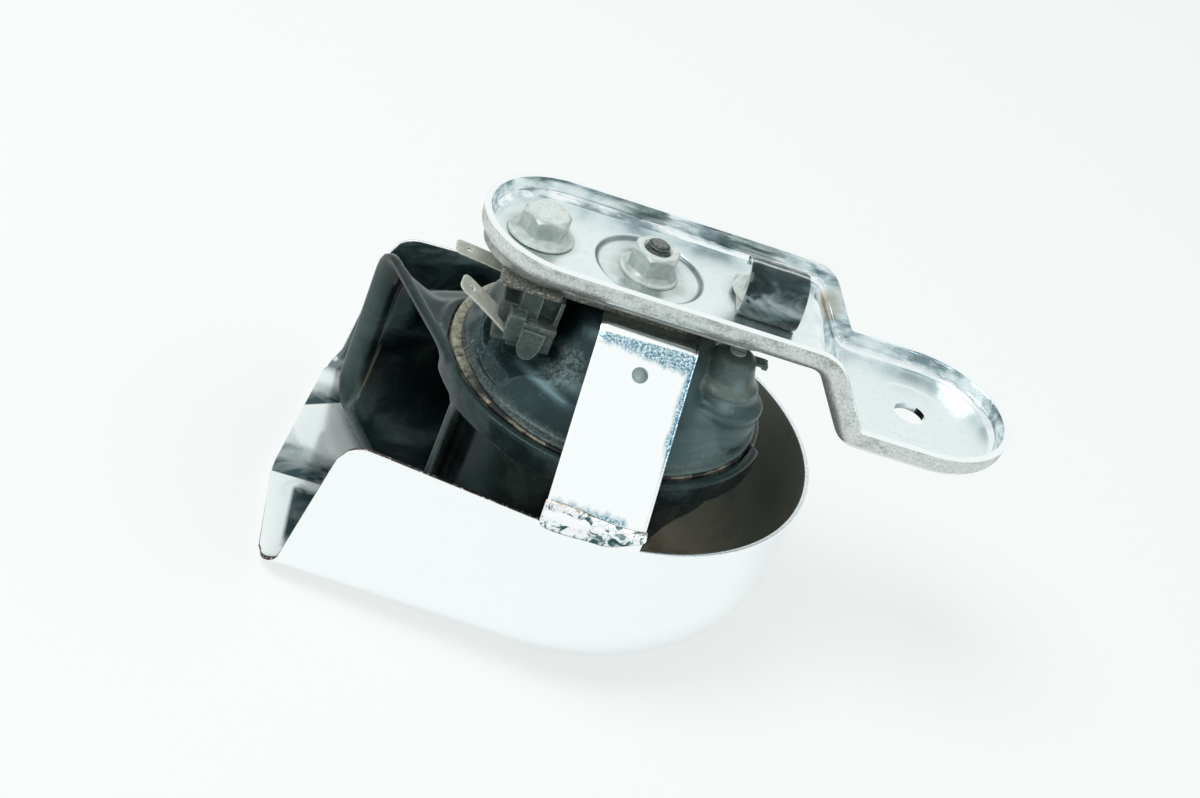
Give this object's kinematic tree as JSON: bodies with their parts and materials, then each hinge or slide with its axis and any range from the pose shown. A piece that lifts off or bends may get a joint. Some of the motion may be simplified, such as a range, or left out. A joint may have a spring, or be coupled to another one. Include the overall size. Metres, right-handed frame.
{
  "type": "motorcycle horn",
  "caption": "Electric spiral-trumpet motorcycle horn on a chromed pan-shaped bracket, with a scoop-shaped chromed cover on a welded strap.",
  "frame": {"origin": "centre of the mounting hole in the bracket's ear, on the ear's inner floor", "axes": "+X along the bracket away from the horn, +Z out of the ear's inner floor (away from the cover's face), +Y to the side away from the strap"},
  "size_m": [0.2022, 0.1334, 0.1172],
  "materials": {
    "chrome_plate": "polished, worn",
    "cover_chrome": "polished outside",
    "strap_chrome": "polished, scuffed",
    "weld_bead": "plated over weld",
    "plated_steel": "dull plated",
    "zinc_fastener": "dull zinc",
    "clip_steel": "satin",
    "clip_vinyl": "gloss",
    "case_paint": "satin, dusty",
    "soft_iron": "bare",
    "bobbin_plastic": "matte",
    "copper_wire": "enamelled",
    "diaphragm_steel": "bare spring steel",
    "gasket": "dry fibre",
    "trumpet_plastic": "semi-gloss",
    "terminal_moulding": "dusty moulding",
    "terminal_brass": "tarnished",
    "insulator_board": "pressed board",
    "contact_silver": "contact metal"
  },
  "bodies": {
    "horn": {"bracket": "chrome_plate", "backing_plate": "plated_steel", "horn_leaf": "plated_steel", "flange_bolts": "zinc_fastener", "plate_nuts": "zinc_fastener", "centre_nut": "zinc_fastener", "cover_shell": "cover_chrome", "cover_strap": "strap_chrome", "strap_weld": "weld_bead", "clip_strap": "clip_steel", "clip_skin": "clip_vinyl", "horn_case": "case_paint", "horn_stud": "zinc_fastener", "pole_core": "soft_iron", "coil_bobbin": "bobbin_plastic", "coil_winding": "copper_wire", "diaphragm": "diaphragm_steel", "upper_gasket": "gasket", "lower_gasket": "gasket", "trumpet_shell": "trumpet_plastic", "trumpet_lid": "trumpet_plastic", "terminal_block": "terminal_moulding", "near_terminal": "terminal_brass", "far_terminal": "terminal_brass", "contact_bracket": "plated_steel", "contact_insulators": "insulator_board", "contact_rivet": "terminal_brass", "moving_leaf_root": "terminal_brass", "fixed_contact_leaf": "terminal_brass", "fixed_contact_point": "contact_silver"},
    "armature": {"armature": "soft_iron", "armature_nut": "zinc_fastener"},
    "contact_arm": {"moving_contact_arm": "terminal_brass", "moving_contact_point": "contact_silver"},
    "tuning_screw": {"adjusting_screw": "zinc_fastener"}
  },
  "joints": [
    {"name": "armature_pull", "type": "slide", "parent": "horn", "child": "armature", "axis": [0, 0, 1], "range_m": [0, 0.0006], "stiffness_N_per_m": 3000, "deforming": ["diaphragm"]},
    {"name": "contact_arm_lift", "type": "hinge", "parent": "horn", "child": "contact_arm", "pos_m": [-0.0655, 0.01796, -0.01], "axis": [-1, 0, 0], "range_deg": [0, 2]},
    {"name": "tuning_screw_turn", "type": "hinge", "parent": "horn", "child": "tuning_screw", "pos_m": [-0.059, -0.0135, 0.01], "axis": [0, 0, 1], "range_deg": [-180, 180]}
  ],
  "couplings": [
    {"joint": "contact_arm_lift", "follows": "armature_pull", "rad_per_m": 55.67}
  ]
}
